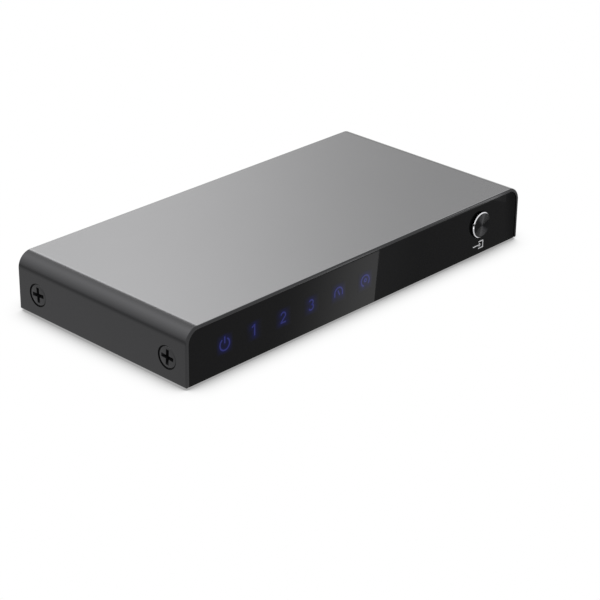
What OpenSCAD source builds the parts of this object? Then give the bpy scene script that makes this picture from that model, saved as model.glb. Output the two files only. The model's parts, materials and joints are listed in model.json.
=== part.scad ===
// Three-input video switch box: a bent aluminium cover over a sheet-metal tray, a gloss front
// panel with lit indicators and one push button, and a row of sockets at the back.
// X runs along the front, the front faces -Y, Z is up, and the origin is on the table
// under the middle of the case. Millimetres.

/* [Case] */
// Width of the cover, end to end
case_w = 138; // [124:1:160]
// Depth of the cover, front to back
case_d = 68; // [66:1:90]
// Height of the cover, without the feet
case_h = 17; // [15.5:0.5:26]
// Wall of the cover
cover_t = 1; // [0.8:0.1:1.5]
// Outside radius of the cover's two bends
corner_r = 4.6; // [3:0.1:6]
// Broken edge of the cover's sheet at the front and the rear
edge_break = 0.4; // [0.1:0.05:0.5]

/* [Tray] */
// Sheet of the tray
tray_t = 1; // [0.8:0.1:1.4]
// Height of the tray's underside above the cover's lower edges
tray_up = 0.5; // [0.3:0.1:1]
// Inside radius of the tray's bends
tray_bend_r = 0.6; // [0.3:0.1:1]
// Air between the tray and the cover
tray_gap = 0.1; // [0.05:0.05:0.3]
// Depth of the rear panel inside the cover's rear edge
rear_set = 0.5; // [0.2:0.1:1]
// Height of the tray's rear lip, on which the rear panel is welded
lip_h = 2.2; // [2:0.1:2.6]
// Length of each screw tab along the tray's side
tab_l = 11; // [8:0.5:12]

/* [Feet] */
// Diameter of a rubber foot where it is stuck on
foot_d = 10; // [6:0.5:12]
// Height of the cover's lower edges above the table
foot_lift = 0.6; // [0.4:0.1:2]
// Distance of a foot's middle from the ends and sides of the case
foot_in = 12; // [9:0.5:15]

/* [Cover screws] */
// Distance of the front screws from the cover's front edge
screw_front = 7.3; // [6.8:0.1:9]
// Distance of the rear screws from the cover's rear edge
screw_rear = 8.2; // [6.8:0.1:9]
// Height of a screw above the cover's lower edge
screw_z = 6.7; // [5.5:0.1:8]
// Diameter of the thread
screw_d = 3; // [2.5:0.5:3]
// Diameter of the countersink at the cover's face
sink_d = 6.9; // [6.4:0.1:7.4]
// Depth of the head's top below the cover's face
head_sunk = 0.15; // [0.1:0.05:0.3]
// Length of a screw from the top of its head
screw_l = 4; // [3.5:0.1:4.4]

/* [Front panel] */
// Thickness of the gloss panel
panel_t = 2; // [1.5:0.1:2.5]
// Depth of the panel's face behind the cover's front edge
panel_set = 0.2; // [0:0.05:0.5]
// Air round the panel
panel_gap = 0.08; // [0.05:0.01:0.25]
// Thickness of the tape that holds the panel
tape_t = 0.2; // [0.1:0.05:0.4]

/* [Indicators] */
// Number of lit symbols
icon_count = 6; // [4:1:6]
// Distance between lit symbols
icon_pitch = 11; // [9:0.5:11.5]
// Distance of the first symbol from the left end of the case
icon_edge = 14.1; // [13:0.1:17]
// Height of the symbols above the cover's lower edge
icon_z = 8.05; // [7.7:0.05:8.5]
// Side of the square light window behind each symbol
window_side = 4.6; // [3.6:0.1:4.8]
// Depth of the light baffle
baffle_d = 3.5; // [2.5:0.1:4]

/* [Select button] */
// Diameter of the button's cap
button_d = 8; // [7:0.1:9]
// Distance of the button from the right end of the case
button_edge = 18.2; // [15:0.1:20]
// Height of the button above the cover's lower edge
button_z = 9.7; // [9:0.1:10]
// How far the cap stands out of the panel
button_out = 1; // [0.6:0.1:1.5]
// How far the button travels
button_travel = 0.4; // [0.2:0.05:0.6]
// Bright chamfer round the cap
button_chamfer = 0.25; // [0.2:0.05:0.6]
// Air round the cap in the panel
button_gap = 0.2; // [0.1:0.05:0.4]

/* [Circuit board] */
// Thickness of the board
board_t = 1.6; // [1:0.1:1.6]
// Height of the board above the tray
board_lift = 0.9; // [0.8:0.1:1.8]
// Air between the board's ends and the screws in the tray's tabs
board_side_gap = 1.2; // [0.5:0.1:2]
// Air between the board and the front wall and rear panel
board_wall_gap = 0.5; // [0.3:0.1:1]

/* [Sockets] */
// Distance of the power socket's middle from the case's right end
power_edge = 12; // [11.5:0.1:13]
// Distance of the sound socket's middle from the case's left end
sound_edge = 11; // [10.5:0.1:12]
// Width of a video socket's opening
video_w = 14; // [13.9:0.05:14.2]
// Height of a video socket's opening
video_h = 4.55; // [4.5:0.05:4.7]
// Length of a video socket's shell
video_l = 12; // [11:0.1:13]
// Sheet of a video socket's shell
shell_t = 0.35; // [0.25:0.05:0.5]
// How far the video sockets stand out of the rear panel
video_out = 0.6; // [0.2:0.1:1]
// Air round the sockets in the rear panel
port_gap = 0.3; // [0.2:0.05:0.5]
// Diameter of the power socket's barrel opening
power_bore_d = 6.4; // [6:0.1:6.6]
// Diameter of the power socket's pin
power_pin_d = 2; // [1.6:0.1:2.5]
// Diameter of the sound socket's bore
sound_bore_d = 3.6; // [3.5:0.05:3.7]
// Width of the optical socket's opening
optical_w = 7.6; // [7:0.1:7.8]
// Height of the optical socket's opening
optical_h = 7; // [6.4:0.1:7]
// Thickness of the optical socket's shutter
shutter_t = 0.8; // [0.5:0.05:0.9]

/* [Hidden] */
$fn = 64;
eps = 0.01; // overshoot of a cut past the face that it opens
fit = 0.05; // air in a close fit

// Heights
cover_z = foot_lift;
cover_top = cover_z + case_h;
inner_top = cover_top - cover_t;
tray_z = cover_z + tray_up;
tray_top = tray_z + tray_t;
board_z = tray_top + board_lift;
board_top = board_z + board_t;

// Front to back: the panel, its tape, the tray's walls and the board
front_y = -case_d / 2;
panel_y = front_y + panel_set;
panel_back = panel_y + panel_t;
wall_y = panel_back + tape_t;
wall_in = wall_y + tray_t;
rear_y = case_d / 2 - rear_set;
rear_in = rear_y - tray_t;
board_front = wall_in + board_wall_gap;
board_rear = rear_in - board_wall_gap;

// End to end
inner_w = case_w - 2 * cover_t;
inner_r = corner_r - cover_t;
tray_w = inner_w - 2 * tray_gap;
tray_h = inner_top - tray_gap - tray_z;
screw_end = case_w / 2 - head_sunk - screw_l;
board_w = 2 * (screw_end - board_side_gap);
board_corner_r = 1.5;

// Cover screws, whose countersinks go through the cover's wall
screw_y = [screw_front - case_d / 2, case_d / 2 - screw_rear];
screw_mid_z = cover_z + screw_z;
cover_hole_d = screw_d + 2 * fit;
head_d = sink_d - (sink_d - cover_hole_d) * head_sunk / cover_t - 2 * fit;
head_h = cover_t - head_sunk;
tab_hole_d = screw_d + 4 * fit;
drive_l = 4.6; // cross recess: arm length at the top and at the tip, arm width and depth
drive_tip_l = 1;
drive_w = 1.1;
drive_depth = 1.4;
tab_rise = 4; // height of a tab above its screw
tab_hole_run = 1; // cut past a tab's inner face

// Front panel and indicators
panel_r = inner_r - panel_gap;
icon_mid_z = cover_z + icon_z;
icon_x = [for (i = [0:icon_count - 1]) -case_w / 2 + icon_edge + i * icon_pitch];
window_gap = 0.15; // air round a light guide in the tray's wall
baffle_margin = 5.2; // baffle past the middle of the outer symbols
baffle_wall = 0.7; // baffle above the windows
led = [3, 1.2, 1.4];

// Select button and its switch
button_x = case_w / 2 - button_edge;
button_mid_z = cover_z + button_z;
flange_t = 0.8;
flange_lip = 0.4; // flange past the cap all round
flange_d = button_d + 2 * flange_lip;
flange_gap = 0.4; // air round the flange in the tray's wall
spigot_d = 5;
spigot_l = 1.2;
post_d = 4;
flange_y = panel_back + fit;
switch_w = 6.2;
switch_d = 3.4;
switch_half_h = 3;
switch_in = 1.8; // switch behind the board's front edge
switch_y = board_front + switch_in;
plunger_d = 3.4;
plunger_out = 1.3; // plunger in front of the switch
plunger_in = 0.9; // plunger inside the switch
over_travel = 0.25; // room for the plunger past the button's travel
plunger_y = switch_y - plunger_out;

// Infra-red receiver
ir_body = [5.6, 3, 7];
ir_lens_r = 2.2;
ir_lens_z = 3.6;
ir_hole_gap = 0.5;
ir_from_button = 28;
ir_x = button_x - ir_from_button;
ir_in = 1; // receiver behind the board's front edge
ir_y = board_front + ir_in;

// Board fixings
post_in = 5; // from the board's ends
post_front = 16; // from the board's front edge
post_clear = 8; // from the video sockets' back
post_x = board_w / 2 - post_in;
post_front_y = board_front + post_front;
post_rear_y = rear_y + video_out - video_l - post_clear;
spacer_af = 5; // across flats
spacer_bore_d = 2.4;
rivet_d = 3.6; // spacer's foot in the tray
rivet_gap = 0.02;
board_hole_d = 2.8;
board_screw_d = 2.3;
board_screw_l = 3.4;
board_head_d = 4.6;
board_head_h = 1.6;

// Sockets along the rear panel, from the right end to the left with equal gaps between them
power_w = 9;
video_shell_w = video_w + 2 * shell_t;
optical_wall = 1.1;
optical_body_w = optical_w + 2 * optical_wall;
sound_w = 6.4;
video_count = 4;
socket_count = video_count + 3;
power_x = case_w / 2 - power_edge;
sound_x = -case_w / 2 + sound_edge;
between = power_x - sound_x - power_w / 2 - sound_w / 2;
socket_gap = (between - video_count * video_shell_w - optical_body_w) / (socket_count - 1);
video_pitch = video_shell_w + socket_gap;
video_first_x = power_x - power_w / 2 - socket_gap - video_shell_w / 2;
video_x = [for (i = [0:video_count - 1]) video_first_x - i * video_pitch];
optical_x = sound_x + sound_w / 2 + socket_gap + optical_body_w / 2;

// Video sockets
video_names = ["input_1", "input_2", "input_3", "output"];
video_cut = 2; // 45 degree cut of the lower corners
video_mouth = rear_y + video_out;
video_back = video_mouth - video_l;
video_floor = board_top + shell_t;
tongue_w = 11.2;
tongue_t = 1.2;
tongue_drop = 2.1; // from the opening's top to the middle of the tongue
tongue_short = 1; // tongue behind the mouth
block_l = 4; // moulding at the back of the shell
contact = [0.5, 0.12]; // width and thickness
contact_pitch = 1;
contact_short = 0.6; // contact behind the tongue's tip
leg = [shell_t, 2, 2.2]; // shell's solder leg: thickness, length and depth under the shell
leg_gap = 0.25;
leg_back = 2.5; // rear pair of legs from the shell's back
leg_front = 3; // front pair of legs from the board's rear edge
leg_y = [video_back + leg_back, board_rear - leg_front];
latch = [1.6, 3]; // spring window in the shell
latch_x = 3.4;
latch_in = 2.4; // spring window behind the mouth

// Power socket
power_h = 9.4;
power_l = 12;
power_mid_z = board_top + power_h / 2;
power_nose_d = 8;
power_set = 0.2; // body inside the rear panel
power_depth = 9.5;
power_face = rear_in - power_set;
power_floor = rear_y - power_depth;
power_pin_short = 1.2; // pin behind the mouth
pin_root_l = 2; // shouldered root in the socket's floor
pin_shoulder = 0.3;
pin_root_d = power_pin_d + 2 * pin_shoulder;

// Sound socket
sound_h = 5;
sound_l = 13;
sound_nose_d = 5.6;
sound_mid_z = board_top + sound_h / 2;
sound_depth = 13;

// Optical socket
optical_floor = 1;
optical_l = 13.5;
optical_out = 0.2;
optical_mouth = rear_y + optical_out;
optical_depth = 8.5;
pocket_gap = 0.1;
pocket_h = shutter_t + 2 * pocket_gap; // room over the opening for the open shutter
optical_roof = 0.6;
optical_body_h = optical_floor + optical_h + pocket_h + optical_roof;
lip_l = 0.5; // mouth in front of the shutter's pocket
corner_cut = 1.5; // 45 degree cut of the opening's lower corners
shutter_gap = 0.15;
trunnion_r = 0.3;
trunnion_l = 0.5;
hinge_y = optical_mouth - lip_l - pocket_h / 2;
hinge_z = board_top + optical_floor + optical_h + pocket_h / 2;
emitter_d = 2.8;
emitter_l = 2;
emitter_body = [5.6, 2.4, 5.6];

// Electronics on the board
chip_mid_x = 5;
chip_mid_y = (board_front + video_back) / 2;
chip_mid = [chip_mid_x, chip_mid_y];
chip_drop = 4; // small parts in front of the middle chip
control_step = 34; // control chip and crystal to the left of the middle chip
crystal_step = 20;
switch_chip = [10, 10, 1.2];
pad_t = 0.5;
sink_base = [22, 22, 1.5];
fin_count = 8;
fin_t = 1;
fin_h = 5;
control_chip = [7, 7, 1.4];
sound_chip = [5, 6.2, 1.5];
crystal_d = 4.6;
crystal_l = 11;
crystal_h = 3.6;
can_d = 5;
can_h = 5.4;
can_step = 7;
can_back = 8; // cans behind the middle chip
can_from_power = 20;
coil = [7, 7, 3.5];
coil_from_power = 18;
regulator = [6.5, 3.5, 1.7];
regulator_from_power = 6;

// Outline of width w and height h whose two upper corners have radius r
module arch(w, h, r) {
    translate([-w / 2, 0]) square([w, h - r]);
    translate([-w / 2 + r, 0]) square([w - 2 * r, h]);
    for (side = [-1, 1]) translate([side * (w / 2 - r), h - r]) circle(r = r);
}

// Solid of an arch outline standing on height z, from y0 to y1
module arch_block(w, h, r, z, y0, y1) {
    translate([0, y1, z]) rotate([90, 0, 0]) linear_extrude(y1 - y0) arch(w, h, r);
}

// Cylinder along Y from y0 to y1
module rod_y(x, z, d, y0, y1) {
    translate([x, y0, z]) rotate([-90, 0, 0]) cylinder(h = y1 - y0, d = d);
}

// Box in the middle of x, from y0 to y1 and from z0 to z1
module slab(x, w, y0, y1, z0, z1) {
    translate([x - w / 2, y0, z0]) cube([w, y1 - y0, z1 - z0]);
}

// Box of a given size in the middle of a place on the board
module on_board(place, size) {
    translate([place[0] - size[0] / 2, place[1] - size[1] / 2, board_top]) cube(size);
}

// The four places of the cover screws, with the screw pointing inwards along its own Z
module at_cover_screws() {
    for (side = [-1, 1], y = screw_y)
        translate([side * case_w / 2, y, screw_mid_z]) rotate([0, -90 * side, 0]) children();
}

// The four places of the board's spacers
module at_board_posts() {
    for (x = [-post_x, post_x], y = [post_front_y, post_rear_y]) translate([x, y, 0]) children();
}

// Cut through the cover's sheet: depth from the outer face against place from front to rear
module cover_sheet() {
    half = case_d / 2;
    polygon([[0, edge_break - half], [edge_break, -half], [cover_t, -half],
             [cover_t, half], [edge_break, half], [0, half - edge_break]]);
}

// One end wall, its bend and half of the top
module cover_half() {
    wall_h = case_h - corner_r;
    top_w = case_w / 2 - corner_r;
    translate([case_w / 2, 0, cover_z]) mirror([1, 0, 0]) linear_extrude(wall_h) cover_sheet();
    translate([top_w, 0, cover_top - corner_r]) rotate([90, 0, 0]) rotate_extrude(angle = 90)
        translate([corner_r, 0]) mirror([1, 0]) cover_sheet();
    translate([0, 0, cover_top]) rotate([0, 90, 0]) linear_extrude(top_w) cover_sheet();
}

module top_cover() {
    color("#4a4b4d") difference() {
        union() {
            cover_half();
            mirror([1, 0, 0]) cover_half();
        }
        at_cover_screws() {
            translate([0, 0, -eps]) cylinder(h = cover_t + 2 * eps, d = cover_hole_d);
            translate([0, 0, -eps]) cylinder(h = eps, d = sink_d);
            cylinder(h = cover_t, d1 = sink_d, d2 = cover_hole_d);
        }
    }
}

// Side view of the tray: floor, front wall and rear lip bent from one sheet
module tray_profile() {
    length = rear_y - wall_y;
    bend_r = tray_bend_r + tray_t;
    translate([(rear_y + wall_y) / 2, 0]) difference() {
        translate([0, tray_h]) mirror([0, 1]) arch(length, tray_h, bend_r);
        translate([0, tray_h + eps]) mirror([0, 1])
            arch(length - 2 * tray_t, tray_h - tray_t + eps, tray_bend_r);
        translate([length / 2 - tray_t - eps, lip_h]) square([tray_t + 2 * eps, tray_h]);
    }
}

// Light windows, and the holes for the receiver's lens and the button's flange, from y0 to y1
module front_cuts(y0, y1) {
    for (x = icon_x) slab(x, window_side + 2 * window_gap, y0 - eps, y1 + eps,
                          icon_mid_z - window_side / 2 - window_gap,
                          icon_mid_z + window_side / 2 + window_gap);
    rod_y(ir_x, board_top + ir_lens_z, 2 * (ir_lens_r + ir_hole_gap), y0 - eps, y1 + eps);
    rod_y(button_x, button_mid_z, flange_d + 2 * flange_gap, y0 - eps, y1 + eps);
}

// Cut-outs of the rear panel for the sockets
module rear_cuts() {
    for (x = video_x) video_block(x, shell_t + port_gap, rear_in - eps, rear_y + eps);
    rod_y(power_x, power_mid_z, power_nose_d + 2 * port_gap, rear_in - eps, rear_y + eps);
    rod_y(sound_x, sound_mid_z, sound_nose_d + 2 * port_gap, rear_in - eps, rear_y + eps);
    slab(optical_x, optical_body_w + 2 * port_gap, rear_in - eps, rear_y + eps,
         board_top - port_gap, board_top + optical_body_h + port_gap);
}

module base_tray() {
    color("#3a3b3d") difference() {
        union() {
            intersection() {
                translate([-tray_w / 2, 0, tray_z]) rotate([90, 0, 90])
                    linear_extrude(tray_w) tray_profile();
                arch_block(tray_w, tray_h, inner_r, tray_z, wall_y - 1, rear_y + 1);
            }
            for (side = [-1, 1], y = screw_y)
                slab(side * (tray_w - tray_t) / 2, tray_t,
                     max(y - tab_l / 2, wall_in), min(y + tab_l / 2, rear_in),
                     tray_z + tray_t / 2, screw_mid_z + tab_rise);
        }
        at_cover_screws() cylinder(h = cover_t + tray_gap + tray_t + tab_hole_run, d = tab_hole_d);
        at_board_posts() translate([0, 0, tray_z - eps])
            cylinder(h = tray_t + 2 * eps, d = rivet_d + 2 * rivet_gap);
        front_cuts(wall_y, wall_in);
    }
}

module rear_panel() {
    color("#3a3b3d") difference() {
        arch_block(tray_w, tray_h, inner_r, tray_z, rear_in, rear_y);
        slab(0, case_w, rear_in - eps, rear_y + eps, tray_z - eps, tray_z + lip_h);
        rear_cuts();
    }
}

module cover_screw() {
    difference() {
        union() {
            translate([0, 0, head_sunk]) cylinder(h = head_h, d1 = head_d, d2 = screw_d);
            translate([0, 0, head_sunk]) cylinder(h = screw_l, d = screw_d);
        }
        translate([0, 0, head_sunk - eps]) intersection() {
            cylinder(h = drive_depth, d1 = drive_l, d2 = drive_tip_l);
            for (turn = [0, 90]) rotate([0, 0, turn])
                translate([-drive_l / 2, -drive_w / 2, 0]) cube([drive_l, drive_w, drive_depth]);
        }
    }
}

module cover_screws() {
    color("#1c1c1e") at_cover_screws() cover_screw();
}

module rubber_feet() {
    taper = 1; // a foot is this much narrower at the table
    color("#151515") for (x = [-1, 1], y = [-1, 1])
        translate([x * (case_w / 2 - foot_in), y * (case_d / 2 - foot_in), 0])
            cylinder(h = tray_z, d1 = foot_d - taper, d2 = foot_d);
}

// Sheet behind or in front of the tray's front wall, with the cover's inner outline
module front_sheet(y0, y1) {
    arch_block(inner_w - 2 * panel_gap, inner_top - panel_gap - cover_z, panel_r, cover_z, y0, y1);
}

module front_panel() {
    color("#101012") difference() {
        front_sheet(panel_y, panel_back);
        rod_y(button_x, button_mid_z, button_d + 2 * button_gap, panel_y - eps, panel_back + eps);
    }
}

module panel_tape() {
    color("#26272a") difference() {
        front_sheet(panel_back, wall_y);
        slab(0, case_w, panel_back - eps, wall_y + eps, cover_z - eps, tray_z);
        front_cuts(panel_back, wall_y);
    }
}

module light_baffle() {
    color("#1b1b1b") difference() {
        translate([icon_x[0] - baffle_margin, wall_in, board_top])
            cube([(icon_count - 1) * icon_pitch + 2 * baffle_margin, baffle_d,
                  icon_mid_z + window_side / 2 + baffle_wall - board_top]);
        for (x = icon_x) slab(x, window_side + 2 * fit, wall_in - eps, wall_in + baffle_d + eps,
                              board_top - eps, icon_mid_z + window_side / 2 + fit);
    }
}

module light_guides() {
    color("#dfe6f5") for (x = icon_x)
        slab(x, window_side, wall_y, wall_in + baffle_d,
             icon_mid_z - window_side / 2, icon_mid_z + window_side / 2);
}

module indicator_leds() {
    color("#f2efe0") for (x = icon_x) on_board([x, wall_in + baffle_d + led[1] / 2], led);
}

module ir_receiver() {
    color("#2a1a1c") {
        slab(ir_x, ir_body[0], ir_y, ir_y + ir_body[1], board_top, board_top + ir_body[2]);
        difference() {
            translate([ir_x, ir_y, board_top + ir_lens_z]) sphere(r = ir_lens_r);
            slab(ir_x, ir_body[0], ir_y, ir_y + ir_body[1], board_top, board_top + ir_body[2]);
        }
    }
}

module button_cap() {
    r = button_d / 2;
    cap_y = panel_y - button_out;
    back = flange_y - cap_y;
    color("#4a4a4c") translate([button_x, cap_y, button_mid_z]) rotate([-90, 0, 0]) rotate_extrude()
        polygon([[0, 0], [r - button_chamfer, 0], [r, button_chamfer], [r, back],
                 [spigot_d / 2 + fit, back], [spigot_d / 2 + fit, back - spigot_l], [0, back - spigot_l]]);
}

module button_stem() {
    color("#232325") {
        rod_y(button_x, button_mid_z, spigot_d, flange_y - spigot_l, flange_y);
        rod_y(button_x, button_mid_z, flange_d, flange_y, flange_y + flange_t);
        rod_y(button_x, button_mid_z, post_d, flange_y + flange_t, plunger_y);
    }
}

module switch_body() {
    color("#2b2b2d") difference() {
        slab(button_x, switch_w, switch_y, switch_y + switch_d, board_top, button_mid_z + switch_half_h);
        rod_y(button_x, button_mid_z, plunger_d + 2 * fit, switch_y - eps,
              switch_y + plunger_in + button_travel + over_travel);
    }
}

module switch_plunger() {
    color("#d8d4c8") rod_y(button_x, button_mid_z, plunger_d, plunger_y, switch_y + plunger_in);
}

module main_board() {
    color("#123a26") difference() {
        translate([0, (board_front + board_rear) / 2, board_z]) linear_extrude(board_t) rounded_sheet();
        at_board_posts() translate([0, 0, board_z - eps]) cylinder(h = board_t + 2 * eps, d = board_hole_d);
        for (x = video_x) video_legs(x, leg_gap);
    }
}

module rounded_sheet() {
    depth = board_rear - board_front;
    square([board_w - 2 * board_corner_r, depth], center = true);
    square([board_w, depth - 2 * board_corner_r], center = true);
    for (x = [-1, 1], y = [-1, 1])
        translate([x * (board_w / 2 - board_corner_r), y * (depth / 2 - board_corner_r)])
            circle(r = board_corner_r);
}

module board_spacers() {
    color("#b59a55") at_board_posts() difference() {
        union() {
            translate([0, 0, tray_top]) cylinder(h = board_lift, d = spacer_af / cos(30), $fn = 6);
            translate([0, 0, tray_z]) cylinder(h = tray_t, d = rivet_d);
        }
        translate([0, 0, tray_z - eps]) cylinder(h = tray_t + board_lift + 2 * eps, d = spacer_bore_d);
    }
}

module board_screws() {
    color("#c9cacc") at_board_posts() difference() {
        union() {
            translate([0, 0, board_top]) cylinder(h = board_head_h, d = board_head_d);
            translate([0, 0, board_top - board_screw_l]) cylinder(h = board_screw_l, d = board_screw_d);
        }
        for (turn = [0, 90]) rotate([0, 0, turn])
            translate([-board_head_d / 3, -drive_w / 2, board_top + board_head_h / 2])
                cube([board_head_d * 2 / 3, drive_w, board_head_h]);
    }
}

// Outline of a video socket's opening, grown by g all round: flat top, cut lower corners
module video_outline(g) {
    half = video_w / 2 + g;
    miter = g * tan(22.5);
    low = video_cut - miter;
    polygon([[-half, video_h + g], [-half, low], [-half + video_cut + g - miter, -g],
             [half - video_cut - g + miter, -g], [half, low], [half, video_h + g]]);
}

module video_block(x, g, y0, y1) {
    translate([x, y1, video_floor]) rotate([90, 0, 0]) linear_extrude(y1 - y0) video_outline(g);
}

// The four legs of a shell, or with air g round them their slots in the board
module video_legs(x, g) {
    for (side = [-1, 1], y = leg_y)
        slab(x + side * (video_w + shell_t) / 2, leg[0] + 2 * g, y - leg[1] / 2 - g, y + leg[1] / 2 + g,
             board_top - leg[2] - g, video_floor + video_h / 2);
}

module video_shell(i) {
    x = video_x[i];
    color("#c4c6c8") {
        difference() {
            video_block(x, shell_t, video_back, video_mouth);
            video_block(x, 0, video_back + shell_t, video_mouth + eps);
            for (side = [-1, 1])
                slab(x + side * latch_x, latch[0],
                     video_mouth - latch_in - latch[1], video_mouth - latch_in,
                     video_floor - shell_t - eps, video_floor + video_h + shell_t + eps);
        }
        video_legs(x, 0);
    }
}

module video_tongue(i) {
    x = video_x[i];
    front = video_back + shell_t + block_l;
    mid_z = video_floor + video_h - tongue_drop;
    color("#1a1a1a") {
        video_block(x, -fit, video_back + shell_t, front);
        slab(x, tongue_w, front, video_mouth - tongue_short, mid_z - tongue_t / 2, mid_z + tongue_t / 2);
    }
}

module video_contacts(i) {
    front = video_back + shell_t + block_l;
    mid_z = video_floor + video_h - tongue_drop;
    color("#c8a24a") for (row = [[10, 1], [9, -1]], k = [0:row[0] - 1]) {
        face = mid_z + row[1] * tongue_t / 2;
        slab(video_x[i] + (k - (row[0] - 1) / 2) * contact_pitch, contact[0],
             front, video_mouth - tongue_short - contact_short,
             min(face, face + row[1] * contact[1]), max(face, face + row[1] * contact[1]));
    }
}

module power_socket() {
    color("#161616") difference() {
        union() {
            slab(power_x, power_w, power_face - power_l, power_face, board_top, board_top + power_h);
            rod_y(power_x, power_mid_z, power_nose_d, power_face, rear_y);
        }
        rod_y(power_x, power_mid_z, power_bore_d, power_floor, rear_y + eps);
        rod_y(power_x, power_mid_z, pin_root_d + 2 * rivet_gap,
              power_floor - pin_root_l, power_floor + eps);
    }
}

module power_pin() {
    color("#c2a35a") {
        rod_y(power_x, power_mid_z, pin_root_d, power_floor - pin_root_l, power_floor);
        rod_y(power_x, power_mid_z, power_pin_d, power_floor, rear_y - power_pin_short);
    }
}

module sound_socket() {
    color("#1a1a1a") difference() {
        union() {
            slab(sound_x, sound_w, rear_in - sound_l, rear_in, board_top, board_top + sound_h);
            rod_y(sound_x, sound_mid_z, sound_nose_d, rear_in, rear_y);
        }
        rod_y(sound_x, sound_mid_z, sound_bore_d, rear_y - sound_depth, rear_y + eps);
    }
}

// Opening of the optical socket with its lower corners cut at 45 degrees, less g all round
module optical_outline(g) {
    half = optical_w / 2 - g;
    top = optical_floor + optical_h;
    low = optical_floor + g;
    cut = corner_cut - g * tan(22.5);
    polygon([[-half, top], [-half, low + cut], [-half + cut, low],
             [half - cut, low], [half, low + cut], [half, top]]);
}

module optical_socket() {
    top = board_top + optical_floor + optical_h;
    floor_y = optical_mouth - optical_depth;
    color("#191919") difference() {
        slab(optical_x, optical_body_w, optical_mouth - optical_l, optical_mouth,
             board_top, board_top + optical_body_h);
        translate([optical_x, optical_mouth + eps, board_top]) rotate([90, 0, 0])
            linear_extrude(optical_depth + eps) optical_outline(0);
        slab(optical_x, optical_w, floor_y, optical_mouth - lip_l, top - eps, top + pocket_h);
        translate([optical_x, hinge_y, hinge_z]) rotate([0, 90, 0])
            cylinder(h = optical_w + 2 * (trunnion_l + fit), r = trunnion_r + fit, center = true);
        rod_y(optical_x, board_top + optical_floor + optical_h / 2, emitter_d + 2 * fit,
              optical_mouth - optical_l - eps, floor_y + eps);
    }
}

module optical_shutter() {
    leaf_h = optical_h + pocket_h / 2 - shutter_gap;
    color("#2c2c2e") {
        translate([optical_x, hinge_y, hinge_z]) rotate([0, 90, 0]) {
            cylinder(h = optical_w - 2 * shutter_gap, d = shutter_t, center = true);
            cylinder(h = optical_w + 2 * trunnion_l, r = trunnion_r, center = true);
        }
        intersection() {
            slab(optical_x, optical_w - 2 * shutter_gap, hinge_y - shutter_t / 2, hinge_y + shutter_t / 2,
                 hinge_z - leaf_h, hinge_z);
            translate([optical_x, optical_mouth, board_top + pocket_h]) rotate([90, 0, 0])
                linear_extrude(optical_depth) optical_outline(shutter_gap);
        }
    }
}

module optical_emitter() {
    back = optical_mouth - optical_l;
    mid_z = board_top + optical_floor + optical_h / 2;
    color("#a03038") {
        rod_y(optical_x, mid_z, emitter_d, back, optical_mouth - optical_depth - emitter_l);
        slab(optical_x, emitter_body[0], back - emitter_body[1], back,
             mid_z - emitter_body[2] / 2, mid_z + emitter_body[2] / 2);
    }
}

module switch_chip() {
    color("#202022") on_board(chip_mid, switch_chip);
}

module thermal_pad() {
    color("#9fb3c4") translate([0, 0, switch_chip[2]])
        on_board(chip_mid, [switch_chip[0], switch_chip[1], pad_t]);
}

module heat_sink() {
    first_x = chip_mid_x - sink_base[0] / 2 + fin_t / 2;
    fin_pitch = (sink_base[0] - fin_t) / (fin_count - 1);
    color("#a9acb0") translate([0, 0, switch_chip[2] + pad_t]) {
        on_board(chip_mid, sink_base);
        for (k = [0:fin_count - 1])
            on_board([first_x + k * fin_pitch, chip_mid_y], [fin_t, sink_base[1], sink_base[2] + fin_h]);
    }
}

module control_chip() {
    color("#202022") on_board([chip_mid_x - control_step, chip_mid_y - chip_drop], control_chip);
}

module sound_chip() {
    color("#202022") on_board([optical_x, chip_mid_y + chip_drop], sound_chip);
}

module crystal() {
    color("#c9cbcd") translate([chip_mid_x - crystal_step, chip_mid_y - chip_drop, board_top])
    linear_extrude(crystal_h) {
        square([crystal_d, crystal_l - crystal_d], center = true);
        for (side = [-1, 1]) translate([0, side * (crystal_l - crystal_d) / 2]) circle(d = crystal_d);
    }
}

module capacitors() {
    color("#b9bcc0") for (k = [0:2])
        translate([power_x - can_from_power + k * can_step, chip_mid_y + can_back, board_top])
            cylinder(h = can_h, d = can_d);
}

module power_coil() {
    color("#3a3a3c") on_board([power_x - coil_from_power, chip_mid_y - chip_drop], coil);
}

module regulator() {
    color("#202022") on_board([power_x - regulator_from_power, chip_mid_y - chip_drop], regulator);
}

top_cover();
base_tray();
rear_panel();
cover_screws();
rubber_feet();
front_panel();
panel_tape();
light_baffle();
light_guides();
indicator_leds();
ir_receiver();
button_cap();
button_stem();
switch_body();
switch_plunger();
main_board();
board_spacers();
board_screws();
for (i = [0:video_count - 1]) {
    video_shell(i);
    video_tongue(i);
    video_contacts(i);
}
power_socket();
power_pin();
sound_socket();
optical_socket();
optical_shutter();
optical_emitter();
switch_chip();
thermal_pad();
heat_sink();
control_chip();
sound_chip();
crystal();
capacitors();
power_coil();
regulator();
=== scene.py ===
import json
import math

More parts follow.
